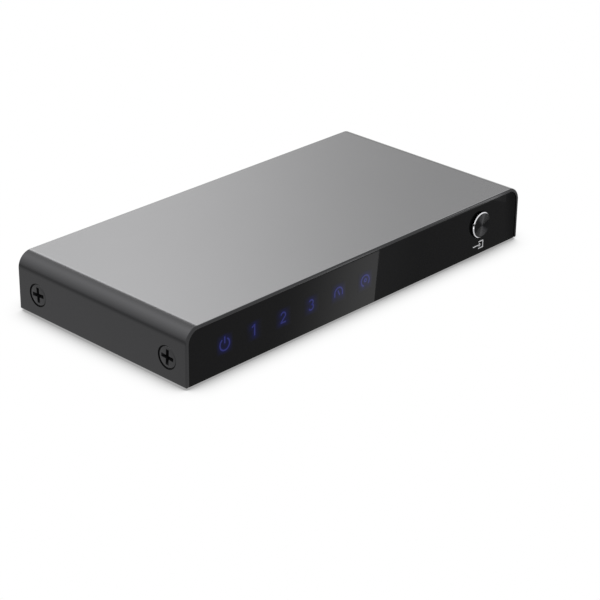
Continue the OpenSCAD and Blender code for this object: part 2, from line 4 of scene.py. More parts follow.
import bmesh
import bpy
import numpy as np
from mathutils import Matrix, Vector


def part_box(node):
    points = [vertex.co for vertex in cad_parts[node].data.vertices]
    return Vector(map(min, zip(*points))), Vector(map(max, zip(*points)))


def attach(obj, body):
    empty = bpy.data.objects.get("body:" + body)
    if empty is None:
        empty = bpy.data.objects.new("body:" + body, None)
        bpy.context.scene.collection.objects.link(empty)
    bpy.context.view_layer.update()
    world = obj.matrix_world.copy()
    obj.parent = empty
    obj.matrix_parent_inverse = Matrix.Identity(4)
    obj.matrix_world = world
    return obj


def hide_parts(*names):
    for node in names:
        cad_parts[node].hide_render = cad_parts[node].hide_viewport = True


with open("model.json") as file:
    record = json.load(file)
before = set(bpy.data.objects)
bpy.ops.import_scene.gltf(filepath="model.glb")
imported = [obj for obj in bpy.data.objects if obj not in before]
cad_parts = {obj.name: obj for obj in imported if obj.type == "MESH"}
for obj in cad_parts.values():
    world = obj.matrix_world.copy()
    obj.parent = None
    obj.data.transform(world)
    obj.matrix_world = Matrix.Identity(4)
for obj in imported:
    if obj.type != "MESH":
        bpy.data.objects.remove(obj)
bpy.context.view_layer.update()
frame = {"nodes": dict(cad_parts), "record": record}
nodes = frame["nodes"]
mm = 0.001
pole = 0.05  # radius in millimetres of the small flat cap where a revolved shape meets its axis
print("frame loaded:", len(nodes), "nodes")


def ease(value, low, high):
    # smooth step from 0 at low to 1 at high
    share = np.clip((value - low) / (high - low), 0, 1)
    return share * share * (3 - 2 * share)


def window(value, rise, fall):
    # rises smoothly over the first range and falls again over the second
    return ease(value, *rise) * (1 - ease(value, *fall))


# Helpers for meshes: a shell is its points in millimetres, its quads and its flat caps
def nodeBox(name):
    return [np.array(corner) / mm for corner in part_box(name)]


def gridQuads(rows, cols, wrapRows=False, wrapCols=True):
    # quads between neighbouring points of a grid that is stored row by row
    i, j = np.meshgrid(np.arange(rows if wrapRows else rows - 1),
                       np.arange(cols if wrapCols else cols - 1), indexing="ij")
    below, beside = (i + 1) % rows, (j + 1) % cols
    corners = [i * cols + j, i * cols + beside, below * cols + beside, below * cols + j]
    return np.stack(corners, -1).reshape(-1, 4)


def loft(rings, closed=False):
    # rings is (rows, cols, 3): closed rings in a row, with the first and the last one filled
    rows, cols = rings.shape[:2]
    quads = gridQuads(rows, cols, wrapRows=closed)
    caps = [] if closed else [np.arange(cols)[::-1], np.arange(cols) + (rows - 1) * cols]
    return rings.reshape(-1, 3), quads, caps


def revolve(profile, centre, axis, segments):
    # profile holds (radius, distance along the axis); each of its points becomes a circle
    radius, along = np.array(profile).T[:, :, None]
    angle = np.linspace(0, 2 * np.pi, segments, endpoint=False)[None, :]
    across = [radius * np.cos(angle), radius * np.sin(angle)]
    rings = np.zeros((len(profile), segments, 3))
    others = [k for k in range(3) if k != axis]
    rings[..., others[0]] = across[0]
    rings[..., others[1]] = across[1]
    rings[..., axis] = along
    return loft(rings + np.array(centre))


weld = 1e-7  # metres: points closer than this are one


def makeMesh(name, shells, sharpDeg):
    points = np.concatenate([shell[0] for shell in shells]) * mm
    starts = np.cumsum([0] + [len(shell[0]) for shell in shells])
    faces = []
    for start, (_, quads, caps) in zip(starts, shells):
        faces += (quads + start).tolist() + [(cap + start).tolist() for cap in caps]
    mesh = bpy.data.meshes.new(name)
    mesh.from_pydata(points.tolist(), [], faces)
    tidyMesh(mesh, sharpDeg)
    return mesh


def tidyMesh(mesh, sharpDeg):
    # doubles at poles and corners merge, faces turn outwards, and only real corners stay sharp
    work = bmesh.new()
    work.from_mesh(mesh)
    bmesh.ops.remove_doubles(work, verts=work.verts, dist=weld)
    bmesh.ops.dissolve_degenerate(work, edges=work.edges, dist=weld)
    bmesh.ops.recalc_face_normals(work, faces=work.faces)
    work.to_mesh(mesh)
    work.free()
    mesh.shade_smooth()
    mesh.set_sharp_from_angle(angle=math.radians(sharpDeg))


def carve(piece, cutterShells, sharpDeg):
    # the cutters' volume is taken out of the piece, and the result becomes its mesh
    cutter = bpy.data.objects.new("cutter", makeMesh("cutter", cutterShells, sharpDeg))
    bpy.context.scene.collection.objects.link(cutter)
    cut = piece.modifiers.new("cut", "BOOLEAN")
    cut.operation, cut.solver, cut.object = "DIFFERENCE", "EXACT", cutter
    bpy.context.view_layer.update()
    evaluated = piece.evaluated_get(bpy.context.evaluated_depsgraph_get())
    mesh = bpy.data.meshes.new_from_object(evaluated)
    piece.modifiers.remove(cut)
    bpy.data.objects.remove(cutter)
    mesh.name = piece.name
    piece.data = mesh
    tidyMesh(mesh, sharpDeg)


def paintFaces(piece, *tests):
    # faces whose middle passes the first test take the piece's second finish, and so on
    middles = np.zeros(len(piece.data.polygons) * 3)
    piece.data.polygons.foreach_get("center", middles)
    finish = np.zeros(len(piece.data.polygons), np.int32)
    for number, passes in enumerate(tests, 1):
        finish[passes(middles.reshape(-1, 3) / mm)] = number
    piece.data.polygons.foreach_set("material_index", finish)


def makePiece(name, shells, finishes, body, replaced=(), cutters=(), sharpDeg=32):
    piece = bpy.data.objects.new(name, makeMesh(name, shells, sharpDeg))
    bpy.context.scene.collection.objects.link(piece)
    if cutters:
        carve(piece, cutters, sharpDeg)
    for finish in finishes:
        piece.data.materials.append(finish)
    # large faces decide the shading, so that flat faces stay flat beside rounded edges
    even = piece.modifiers.new("evenShading", "WEIGHTED_NORMAL")
    even.keep_sharp = True
    even.weight = 90
    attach(piece, body)
    if replaced:
        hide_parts(*replaced)
    return piece


# Helpers for materials
def linear(hexText):
    # sRGB hex to linear light
    srgb = np.array([int(hexText[k:k + 2], 16) for k in (1, 3, 5)]) / 255
    light = np.where(srgb <= 0.04045, srgb / 12.92, ((srgb + 0.055) / 1.055) ** 2.4)
    return (*light.tolist(), 1.0)


def add(tree, kind, settings=None, links=None):
    # one node: settings are its own properties, links its inputs, each a socket or a plain value
    made = tree.nodes.new("ShaderNode" + kind)
    for key, value in (settings or {}).items():
        setattr(made, key, value)
    for key, value in (links or {}).items():
        if isinstance(value, bpy.types.NodeSocket):
            tree.links.new(value, made.inputs[key])
        else:
            made.inputs[key].default_value = value
    return made


def blankMaterial(name):
    material = bpy.data.materials.new(name)
    material.use_nodes = True
    material.node_tree.nodes.clear()
    return material, material.node_tree


noiseSpan = (0.25, 0.75)  # where most values of a noise pattern lie


def grained(name, colours, roughness, grain, depth, metallic=0.0, patch=6.0, stretch=(1, 1, 1), **sockets):
    # a solid finish: soft patches between two colours, and a grain that sets roughness and relief
    # grain, depth and patch are millimetres; stretch above 1 makes the grain finer along that axis
    material, tree = blankMaterial(name)
    place = add(tree, "TexCoord").outputs["Object"]
    along = add(tree, "Mapping", None, {"Vector": place, "Scale": stretch}).outputs[0]
    cloud = add(tree, "TexNoise", None, {"Vector": place, "Scale": 1 / (patch * mm), "Detail": 3.0})
    fine = add(tree, "TexNoise", None, {"Vector": along, "Scale": 1 / (grain * mm), "Detail": 2.0})
    colour = add(tree, "Mix", {"data_type": "RGBA"},
                 {0: cloud.outputs["Fac"], 6: linear(colours[0]), 7: linear(colours[1])})
    gloss = add(tree, "MapRange", None,
                {"Value": fine.outputs["Fac"], "From Min": noiseSpan[0], "From Max": noiseSpan[1],
                 "To Min": roughness[0], "To Max": roughness[1]})
    relief = add(tree, "Bump", None,
                 {"Height": fine.outputs["Fac"], "Strength": 1.0, "Distance": depth * mm})
    shader = add(tree, "BsdfPrincipled", None,
                 {"Base Color": colour.outputs[2], "Roughness": gloss.outputs[0],
                  "Normal": relief.outputs[0], "Metallic": metallic, **sockets})
    add(tree, "OutputMaterial", None, {"Surface": shader.outputs[0]})
    return material


# the lit film: size of its soft patches in millimetres, how far they dim and brighten, and its gloss
lit = dict(patch=2.5, least=0.85, most=1.15, base="#0d0d0e", roughness=0.04, ior=1.49, specular=0.05)


def glowing(name, hexText, stored=None):
    # light through the panel's film: the gloss of the panel, and a glow that is nearly even, or that
    # follows a level stored at the piece's points
    material, tree = blankMaterial(name)
    if stored:
        level = add(tree, "Attribute", {"attribute_name": stored}).outputs["Fac"]
    else:
        place = add(tree, "TexCoord").outputs["Object"]
        cloud = add(tree, "TexNoise", None,
                    {"Vector": place, "Scale": 1 / (lit["patch"] * mm), "Detail": 1.0})
        level = add(tree, "MapRange", None, {"Value": cloud.outputs["Fac"], "To Min": lit["least"],
                                             "To Max": lit["most"]}).outputs[0]
    shader = add(tree, "BsdfPrincipled", None,
                 {"Base Color": linear(lit["base"]), "Roughness": lit["roughness"], "IOR": lit["ior"],
                  "Specular IOR Level": lit["specular"], "Emission Color": linear(hexText),
                  "Emission Strength": level})
    add(tree, "OutputMaterial", None, {"Surface": shader.outputs[0]})
    return material


# Finishes, named for the real materials, except the two marked as painted shade
# anodised aluminium: a dark satin metal that mirrors large lights softly, with hardly any grain
anodisedAluminium = grained("anodisedAluminium", ("#3a3a3b", "#3d3d3e"), (0.16, 0.19), 0.3, 0.00015,
                            metallic=1.0, patch=30)
# the same sheet's cut edges: a little rougher, and a little darker as painted shade that dims the light they
# mirror
dimmedCutEdge = grained("dimmedCutEdge", ("#373738", "#3a3a3b"), (0.2, 0.24), 0.3, 0.00015,
                       metallic=1.0, patch=30)
# black anodised and spun aluminium: nearly black, with the rings of the turning tool in its shape
spunAluminium = grained("spunAluminium", ("#1a1a1b", "#1c1c1d"), (0.16, 0.2), 0.2, 0.0002, metallic=1.0)
# diamond-cut aluminium: a bare bright bevel
cutAluminium = grained("cutAluminium", ("#e4e4e6", "#dcdcdf"), (0.08, 0.12), 0.2, 0.0002, metallic=1.0)
# cast black acrylic: deep black under a smooth gloss, which shows little of a white surface
blackAcrylic = grained("blackAcrylic", ("#0c0c0d", "#0e0e0f"), (0.03, 0.05), 3.0, 0.0, patch=25,
                       **{"IOR": 1.49, "Specular IOR Level": 0.05})
# powder coat on steel sheet: matt black with a fine orange-peel grit
powderCoat = grained("powderCoat", ("#1a1a1c", "#212123"), (0.42, 0.6), 0.35, 0.02)
# blackened steel: a dark dull metal with an oily sheen
blackenedSteel = grained("blackenedSteel", ("#39393a", "#3f3f40"), (0.2, 0.3), 0.15, 0.001, metallic=1.0)
# painted shade in cut hollows: near-black and dull, with hardly any sheen, standing in for the shade that
# falls there
hollowShade = grained("hollowShade", ("#070708", "#0b0b0c"), (0.5, 0.7), 0.15, 0.002,
                     **{"Specular IOR Level": 0.08})
# silicone rubber: matt and dusty
siliconeRubber = grained("siliconeRubber", ("#141414", "#1e1e1d"), (0.75, 0.92), 0.4, 0.02)
# foam tape: open cells at the cut edge
foamTape = grained("foamTape", ("#151516", "#26262a"), (0.85, 0.95), 0.5, 0.08)
# ABS moulding: black with a fine spark-eroded texture
mouldedAbs = grained("mouldedAbs", ("#141415", "#19191b"), (0.36, 0.5), 0.25, 0.008)
# acetal: milky and waxy
acetal = grained("acetal", ("#d8d4c6", "#cfcaba"), (0.35, 0.45), 0.5, 0.004)
# clear acrylic moulding: lets the light through to the symbols
clearAcrylic = grained("clearAcrylic", ("#dfe8f6", "#e8effa"), (0.05, 0.1), 1.0, 0.001,
                       **{"Transmission Weight": 0.8, "IOR": 1.49})
# cast resin of a light-emitting diode: yellowish and cloudy
castResin = grained("castResin", ("#efe9c8", "#e6dca8"), (0.2, 0.3), 0.6, 0.003)
# infra-red filter resin: almost black, with a red heart
filterResin = grained("filterResin", ("#1c0a0e", "#260d12"), (0.08, 0.14), 0.8, 0.001)
# solder mask over glass-fibre board: green lacquer with the weave just showing
solderMask = grained("solderMask", ("#0c3a26", "#12472f"), (0.25, 0.4), 0.6, 0.01, patch=3)
# turned brass, zinc plate, tin plate and gold plate: bare metals with tool marks of different width
turnedBrass = grained("turnedBrass", ("#c9a24e", "#b48c3c"), (0.2, 0.35), 0.2, 0.002, metallic=1.0)
zincPlate = grained("zincPlate", ("#c3c5c9", "#adb0b5"), (0.25, 0.4), 0.25, 0.002, metallic=1.0)
tinPlate = grained("tinPlate", ("#c8c9cb", "#b6b8bb"), (0.2, 0.34), 0.4, 0.002, metallic=1.0,
                   stretch=(1, 0.08, 1))
goldPlate = grained("goldPlate", ("#e0b65a", "#d3a445"), (0.15, 0.25), 0.2, 0.001, metallic=1.0)
# red emitter resin shines as if wet, moulded epoxy is dull, a silicone pad is a chalky blue, and
# extruded aluminium shows the drawn lines of its die
redResin = grained("redResin", ("#8c1420", "#a31a28"), (0.08, 0.15), 0.8, 0.001)
mouldedEpoxy = grained("mouldedEpoxy", ("#1a1a1c", "#232326"), (0.5, 0.7), 0.15, 0.006)
siliconePad = grained("siliconePad", ("#7e95ab", "#8ea3b7"), (0.6, 0.8), 0.5, 0.01)
extrudedAluminium = grained("extrudedAluminium", ("#c9cbce", "#b7b9bd"), (0.25, 0.4), 0.3, 0.002,
                            metallic=1.0, stretch=(1, 0.05, 1))
# light through the film of the front panel, a dim violet blue, and screen-printed ink on it, a matt pale grey
litSymbol = glowing("litSymbol", "#262964")
litFilm = glowing("litFilm", "#04083e", stored="glow")
screenInk = grained("screenInk", ("#c9cacc", "#d6d7d9"), (0.5, 0.6), 0.1, 0.001)
print("finishes made:", len(bpy.data.materials))

slotFinish = {
    "cover": anodisedAluminium, "tray": powderCoat, "screw": blackenedSteel, "rubber": siliconeRubber,
    "panel": blackAcrylic, "tape": foamTape, "black_plastic": mouldedAbs, "light_guide": clearAcrylic,
    "led": castResin, "ir_filter": filterResin, "button": spunAluminium, "plunger": acetal,
    "board": solderMask, "brass": turnedBrass, "steel": zincPlate, "tin": tinPlate, "gold": goldPlate,
    "emitter": redResin, "chip": mouldedEpoxy, "pad": siliconePad, "heat_sink": extrudedAluminium,
}
for part in frame["record"]["subparts"]:
    kept = nodes[part["node"]].data.materials
    kept.clear()
    kept.append(slotFinish[part["material_slot"]])


# Cover: the sheet's rounded cross-section, carried along the bent middle line of the sheet
cover = dict(wall=1.0, bendRadius=4.6, edgeRadius=0.4, innerEdge=0.04, bendSteps=28, edgeSteps=6,
             sinkWide=6.9, sinkNarrow=3.1, sinkLip=0.3, overshoot=0.3, cutBand=0.02,
             wallShare=0.49, sinkShare=0.51)


def coverShell():
    low, high = nodeBox("top_cover")
    half, edge = cover["wall"] / 2, cover["edgeRadius"]
    bend = cover["bendRadius"] - half  # radius of the middle line
    wallX, topZ = high[0] - half, high[2] - half
    turn = np.linspace(np.pi / 2, 0, cover["edgeSteps"])
    footZ = low[2] + edge - edge * np.sin(turn)  # rounded lower end of a wall
    footIn = edge - edge * np.cos(turn)
    quarter = np.linspace(np.pi, np.pi / 2, cover["bendSteps"])
    arc = np.concatenate([quarter, np.pi - quarter[::-1]])  # left bend, then right bend
    side = np.repeat([-1, 1], cover["bendSteps"])
    x = np.concatenate([np.full_like(footZ, -wallX), side * (wallX - bend) + bend * np.cos(arc),
                        np.full_like(footZ, wallX)])
    z = np.concatenate([footZ, topZ - bend + bend * np.sin(arc), footZ[::-1]])
    normalX = np.concatenate([np.full_like(footZ, -1), np.cos(arc), np.full_like(footZ, 1)])
    normalZ = np.concatenate([np.zeros_like(footZ), np.sin(arc), np.zeros_like(footZ)])
    inset = np.concatenate([footIn, np.zeros_like(arc), footIn[::-1]])[:, None]
    # cross-section: a rectangle, depth by wall, with round outer corners that shrink with the inset
    corner = np.repeat(np.arange(4), cover["edgeSteps"])
    swing = np.tile(np.linspace(0, np.pi / 2, cover["edgeSteps"]), 4) + corner * np.pi / 2
    signY = np.array([1, -1, -1, 1])[corner]
    signN = np.array([1, 1, -1, -1])[corner]
    core = np.maximum(np.array([edge, edge, cover["innerEdge"], cover["innerEdge"]])[corner], inset)
    y = signY * (high[1] - core) + (core - inset) * np.cos(swing)
    out = signN * (half - core) + (core - inset) * np.sin(swing)
    rings = np.stack([x[:, None] + out * normalX[:, None], y, z[:, None] + out * normalZ[:, None]], -1)
    return loft(rings)


# Screws: a countersunk head with a tapered cross recess, two in each end wall
screw = dict(fromFront=7.3, fromRear=8.2, up=6.7, sunk=0.15, headRadius=3.1, rim=0.12, rimFall=0.25,
             headDepth=0.85, shank=1.5, length=4.0, tip=0.2, armLength=4.6, armWidth=1.1, recess=1.1,
             mouth=1.05, mouthUp=0.1, taper=0.4, rimShare=0.3, recessShare=1.05, turnDeg=(3, -4, 6, -2),
             segments=96)


def screwPlaces():
    low, high = nodeBox("top_cover")
    return [(side, np.array([side * high[0], y, low[2] + screw["up"]]))
            for side in (-1, 1) for y in (low[1] + screw["fromFront"], high[1] - screw["fromRear"])]


def sinkShell(side, place):
    # a straight lip and a cone through the wall, a little longer at both ends
    wide, narrow = cover["sinkWide"] / 2, cover["sinkNarrow"] / 2
    over, wall = cover["overshoot"], cover["wall"]
    profile = [(wide, side * over), (wide, -side * cover["sinkLip"]),
               (narrow, -side * wall), (narrow, -side * (wall + over))]
    return revolve(profile, place, 0, screw["segments"])


def fromScrewAxis(points):
    # distance of each point from the axis of the nearest screw
    spots = np.array([place for _, place in screwPlaces()])
    return np.hypot(points[:, None, 1] - spots[:, 1], points[:, None, 2] - spots[:, 2]).min(1)


def screwShell(side, place):
    # a flat head with a softened rim, a cone down to the shank, and a bevelled tip
    rim, head, shank, tip = screw["rim"], screw["headRadius"], screw["shank"], screw["tip"]
    depth = [(pole, 0), (head - 2 * rim, 0), (head - rim, screw["rimFall"] * rim), (head, rim),
             (shank, screw["headDepth"]), (shank, screw["length"] - tip),
             (shank - tip, screw["length"]), (pole, screw["length"])]
    profile = [(radius, -side * (screw["sunk"] + down)) for radius, down in depth]
    return revolve(profile, place, 0, screw["segments"])


def recessShell(side, place, turnDeg):
    # a cross of twelve corners that narrows towards its floor
    long, wide = screw["armLength"] / 2, screw["armWidth"] / 2
    quarter = np.array([(long, -wide), (long, wide), (wide, wide)])
    spin = math.radians(turnDeg) + np.repeat(np.arange(4), 3) * np.pi / 2
    point = np.tile(quarter, (4, 1))
    y = point[:, 0] * np.cos(spin) - point[:, 1] * np.sin(spin)
    z = point[:, 0] * np.sin(spin) + point[:, 1] * np.cos(spin)
    size = np.array([screw["mouth"], 1.0, screw["taper"]])[:, None]
    down = np.array([-screw["mouthUp"], 0.0, screw["recess"]])[:, None] + screw["sunk"]
    rings = np.stack([np.broadcast_to(-side * down, (3, 12)), size * y, size * z], -1)
    return loft(rings + place)


coverEnd, coverFront = nodeBox("top_cover")[1][:2]


def inCountersink(middles):
    # inside an end wall and within the mouth of a countersink
    fromMiddle = np.abs(np.abs(middles[:, 0]) - coverEnd + cover["wall"] / 2)
    inWall = fromMiddle < cover["wallShare"] * cover["wall"]
    return inWall & (fromScrewAxis(middles) < cover["sinkShare"] * cover["sinkWide"])


def onCutEdge(middles):
    return np.abs(middles[:, 1]) > coverFront - cover["cutBand"]


def inRecess(middles):
    # below the face of a screw's head, above the floor of its cross, and within the cross's reach
    down = coverEnd - screw["sunk"] - np.abs(middles[:, 0])
    inDepth = (down > screw["rimShare"] * screw["rim"]) & (down < screw["recessShare"] * screw["recess"])
    return inDepth & (fromScrewAxis(middles) < screw["armLength"] / 2)


topCover = makePiece("topCover", [coverShell()], [anodisedAluminium, hollowShade, dimmedCutEdge],
                     "case", ["top_cover"],
                     [sinkShell(side, place) for side, place in screwPlaces()])
# the countersinks are painted near-black as painted shade, and the cut edges a little darker as painted shade
# that dims their highlight
paintFaces(topCover, inCountersink, onCutEdge)
coverScrews = makePiece("coverScrews", [screwShell(*spot) for spot in screwPlaces()],
                        [blackenedSteel, hollowShade], "case", ["cover_screws"],
                        [recessShell(*spot, turn) for spot, turn in zip(screwPlaces(), screw["turnDeg"])])
# the cross recesses are painted near-black as painted shade
paintFaces(coverScrews, inRecess)
print("cover and screws made")


# Front panel: an arch outline with a softened rim, carried through the panel's thickness
panel = dict(cornerRadius=3.52, footRadius=0.3, rim=0.15, rimSteps=5, cornerSteps=12)


def panelShell():
    low, high = nodeBox("front_panel")
    turn = np.linspace(np.pi / 2, 0, panel["rimSteps"])
    inset = panel["rim"] * (1 - np.cos(turn))
    inset = np.concatenate([inset, inset[::-1]])[:, None]
    reach = panel["rim"] * (1 - np.sin(turn))
    y = np.concatenate([low[1] + reach, high[1] - reach[::-1]])[:, None]
    corner = np.repeat(np.arange(4), panel["cornerSteps"])
    swing = np.tile(np.linspace(0, np.pi / 2, panel["cornerSteps"]), 4) + corner * np.pi / 2
    radius = np.repeat([panel["cornerRadius"], panel["footRadius"]], 2)[corner]
    signX, signZ = np.array([1, -1, -1, 1])[corner], np.array([1, 1, -1, -1])[corner]
    centreX = np.where(signX > 0, high[0], low[0]) - signX * radius
    centreZ = np.where(signZ > 0, high[2], low[2]) - signZ * radius
    x = centreX + (radius - inset) * np.cos(swing)
    z = centreZ + (radius - inset) * np.sin(swing)
    return loft(np.stack([x, np.broadcast_to(y, x.shape), z], -1))


# Button: a spun face with turned rings, a bright bevel and a plain side
button = dict(gap=0.2, chamfer=0.25, facePitch=0.16, flankDeg=22, rimWidth=0.15, backRound=0.2,
              holeOver=1, segments=144)
buttonLow, buttonHigh = nodeBox("button_cap")
buttonCentre = (buttonLow + buttonHigh) / 2 * np.array([1, 0, 1])
buttonRadius = (buttonHigh[0] - buttonLow[0]) / 2


def buttonShell():
    # rings: a ridge and a groove in each pitch of the turning tool, with straight flanks between them
    faceRadius = buttonRadius - button["chamfer"]
    ringEnd = faceRadius - button["rimWidth"]
    halfPitch = button["facePitch"] / 2
    turns = np.arange(int(ringEnd / halfPitch))[::-1]
    depth = turns % 2 * halfPitch * math.tan(math.radians(button["flankDeg"]))
    face = np.stack([ringEnd - turns * halfPitch, buttonLow[1] + depth], -1)
    soft = button["backRound"]
    side = [(faceRadius, buttonLow[1]), (buttonRadius, buttonLow[1] + button["chamfer"]),
            (buttonRadius, buttonHigh[1] - soft), (buttonRadius - soft, buttonHigh[1]), (pole, buttonHigh[1])]
    return revolve(np.concatenate([face, side]), buttonCentre, 1, button["segments"])


def holeShell():
    low, high = nodeBox("front_panel")
    radius, over = buttonRadius + button["gap"], button["holeOver"]
    profile = [(radius, low[1] - over), (radius, high[1] + over)]
    return revolve(profile, buttonCentre, 1, button["segments"])


def onBevel(middles):
    # between the flat face and the plain side of the button
    fromAxis = np.hypot(*(middles - buttonCentre)[:, [0, 2]].T)
    return (middles[:, 1] < buttonLow[1] + button["chamfer"]) & (fromAxis > buttonRadius - button["chamfer"])


makePiece("frontPanel", [panelShell()], [blackAcrylic], "case", ["front_panel"], [holeShell()])
buttonCap = makePiece("buttonCap", [buttonShell()], [spunAluminium, cutAluminium], "select_button",
                      ["button_cap"], sharpDeg=40)
paintFaces(buttonCap, onBevel)
print("panel and button made")


# Feet: round rubber pads, widest where they are stuck on, with a shallow dished sole
foot = dict(wide=5.0, narrow=4.5, soft=0.2, softSteps=6, dish=0.15, dishRadius=3.2, lip=0.1, lipIn=0.05,
            segments=72, fromEdge=12)


def footShell(place):
    low, high = nodeBox("rubber_feet")
    soft, wide, dished = foot["soft"], foot["wide"], low[2] + foot["dish"]
    turn = np.linspace(0, np.pi / 2, foot["softSteps"])
    edge = np.stack([foot["narrow"] - soft + soft * np.sin(turn), low[2] + soft - soft * np.cos(turn)], -1)
    sole = [(pole, dished), (foot["dishRadius"], dished), (foot["dishRadius"] + foot["dish"], low[2])]
    top = [(wide, high[2] - foot["lip"]), (wide - foot["lipIn"], high[2]), (pole, high[2])]
    return revolve(np.concatenate([sole, edge, top]), (*place, 0), 2, foot["segments"])


caseLow, caseHigh = nodeBox("top_cover")
footX, footY = caseHigh[0] - foot["fromEdge"], caseHigh[1] - foot["fromEdge"]
footPlaces = [(x * footX, y * footY) for x in (-1, 1) for y in (-1, 1)]
makePiece("rubberFeet", [footShell(place) for place in footPlaces], [siliconeRubber],
          "case", ["rubber_feet"])


# Symbols: flat ribbons along drawn strokes, just proud of the panel's face
symbol = dict(width=0.44, proud=0.05, seat=0.01, firstFromEnd=14.1, pitch=11, up=8.15, arcSteps=28)
panelFace = nodeBox("front_panel")[0][1]


def arc(centre, radius, fromDeg, toDeg):
    angle = np.radians(np.linspace(fromDeg, toDeg, symbol["arcSteps"]))
    return np.stack([centre[0] + radius * np.cos(angle), centre[1] + radius * np.sin(angle)], -1)


def ribbon(stroke, width, place, proud):
    # each point moves half a width to both sides along the mitre of its two neighbouring normals
    stroke = np.array(stroke, float)
    run = np.diff(stroke, axis=0)
    run /= np.linalg.norm(run, axis=1)[:, None]
    normal = np.stack([-run[:, 1], run[:, 0]], -1)
    before, after = np.vstack([normal[:1], normal]), np.vstack([normal, normal[-1:]])
    mitre = (before + after) / (1 + np.sum(before * after, axis=1))[:, None]
    left, right = stroke + mitre * width / 2, stroke - mitre * width / 2
    front, back = panelFace - proud, panelFace + symbol["seat"]
    rows = [np.stack([edge[:, 0] + place[0], np.full(len(edge), y), edge[:, 1] + place[1]], -1)
            for edge, y in ((left, front), (right, front), (right, back), (left, back))]
    return loft(np.stack(rows, 1))


# in millimetres from each symbol's middle: the power sign, the digits, a headphone bow and a swirl
symbolStrokes = [
    [arc((0, -0.1), 1.75, 122, 418), [(0, 0.2), (0, 2.15)]],
    [[(0.1, -1.45), (0.1, 1.9)], [(-0.85, 1.15), (0.0, 1.75)]],
    [np.vstack([arc((0, 0.68), 0.86, 168, -32), [(-0.82, -1.3)]]), [(-1.0, -1.45), (1.0, -1.45)]],
    [arc((-0.05, 0.76), 0.76, 152, -78), arc((-0.05, -0.64), 0.86, 80, -152)],
    [np.vstack([[(1.55, -1.0)], arc((0, 0), 1.55, 0, 180), [(-1.55, -1.0)]]), [(-0.3, 0.7), (0.45, -0.85)]],
    [arc((0, 0), 1.65, -40, 250), arc((0.05, 0.1), 0.42, 0, 360)],
]
symbolPlaces = [(caseLow[0] + symbol["firstFromEnd"] + k * symbol["pitch"], caseLow[2] + symbol["up"])
                for k in range(len(symbolStrokes))]

# Label under the button: an arrow that goes into a bracket
label = dict(width=0.28, x=50.5, up=2.9)
labelStrokes = [[(0.2, 1.1), (2.3, 1.1), (2.3, -1.1), (0.2, -1.1)], [(-2.3, 0), (1.1, 0)],
                [(0.5, 0.55), (1.1, 0.0), (0.5, -0.55)]]

# Films: a thin tile round each symbol, which carries the glow of its strokes
film = dict(half=3.3, proud=0.02, dip=0.002, fade=0.8, rings=24, perSide=24, border=0.7, middle=0.02)


def filmShell(place):
    # a thin square tile: its back edge, then square rings that close in on its middle while they rise
    # out of the panel in a shallow dome, so that no edge shows
    side = np.linspace(-1, 1, film["perSide"], endpoint=False)
    one = np.ones_like(side)
    edges = ((side, -one), (one, side), (-side, one), (-one, -side))
    square = np.concatenate([np.stack(edge, -1) for edge in edges])
    size = np.concatenate([[1], np.linspace(1, film["middle"], film["rings"])])[:, None]
    front = panelFace + film["dip"] - film["proud"] * (1 - size ** 2)
    front[0] = panelFace + symbol["seat"]
    x, z = (place[k] + film["half"] * size * square[:, k] for k in (0, 1))
    return loft(np.stack([x, np.broadcast_to(front, x.shape), z], -1))


def strokePoints(stroke):
    # evenly spaced points along each straight run of the stroke
    corners = np.array(stroke)
    share = np.linspace(0, 1, symbol["arcSteps"])[:, None, None]
    return np.concatenate(corners[:-1] * (1 - share) + corners[1:] * share)


def storeGlow(piece):
    # the level falls exponentially with the distance from the nearest stroke, and to nothing at the border
    points = np.zeros(len(piece.data.vertices) * 3)
    piece.data.vertices.foreach_get("co", points)
    points = points.reshape(-1, 3)[:, [0, 2]] / mm
    places = np.array(symbolPlaces)
    own = np.abs(points[:, None, 0] - places[:, 0]).argmin(1)
    glow = np.zeros(len(points))
    for k, strokes in enumerate(symbolStrokes):
        away = points[own == k] - places[k]
        drawn = np.concatenate([strokePoints(stroke) for stroke in strokes])
        distance = np.linalg.norm(away[:, None] - drawn, axis=2).min(1)
        border = np.abs(away).max(1) / film["half"]
        glow[own == k] = np.exp(-distance / film["fade"]) * (1 - ease(border, film["border"], 1))
    stored = piece.data.attributes.new("glow", "FLOAT", "POINT")
    stored.data.foreach_set("value", glow.astype(np.float32))


symbolRibbons = [ribbon(stroke, symbol["width"], place, symbol["proud"])
                 for strokes, place in zip(symbolStrokes, symbolPlaces) for stroke in strokes]
makePiece("litSymbols", symbolRibbons, [litSymbol], "case")
litFilms = makePiece("litFilms", [filmShell(place) for place in symbolPlaces], [litFilm], "case")
storeGlow(litFilms)
labelPlace = (label["x"], caseLow[2] + label["up"])
labelRibbons = [ribbon(stroke, label["width"], labelPlace, symbol["proud"]) for stroke in labelStrokes]
makePiece("selectMark", labelRibbons, [screenInk], "case")
print("feet and symbols made")

# Stage: a white floor with a soft contact shadow, and cards that only mirrors see
stage = dict(floorSize=6.0, floorColour="#e9e9e9", ambient=0.62,
             shadowReach=10, shadowSamples=32, shadowPower=2.58, shadowDepth=3.34, deepestShadow=0.64)


def stageObject(name, points, quads, material):
    mesh = bpy.data.meshes.new(name)
    mesh.from_pydata(np.asarray(points).tolist(), [], np.asarray(quads).tolist())
    mesh.materials.append(material)
    made = bpy.data.objects.new(name, mesh)
    bpy.context.scene.collection.objects.link(made)
    return made


def mirroredRay(tree):
    # 1 for rays from the camera, from gloss and through glass, 0 for light on matt surfaces
    path = add(tree, "LightPath")
    first = add(tree, "Math", {"operation": "MAXIMUM"}, {0: path.outputs["Is Camera Ray"],
                                                         1: path.outputs["Is Glossy Ray"]})
    return add(tree, "Math", {"operation": "MAXIMUM"}, {0: first.outputs[0],
                                                        1: path.outputs["Is Transmission Ray"]}).outputs[0]


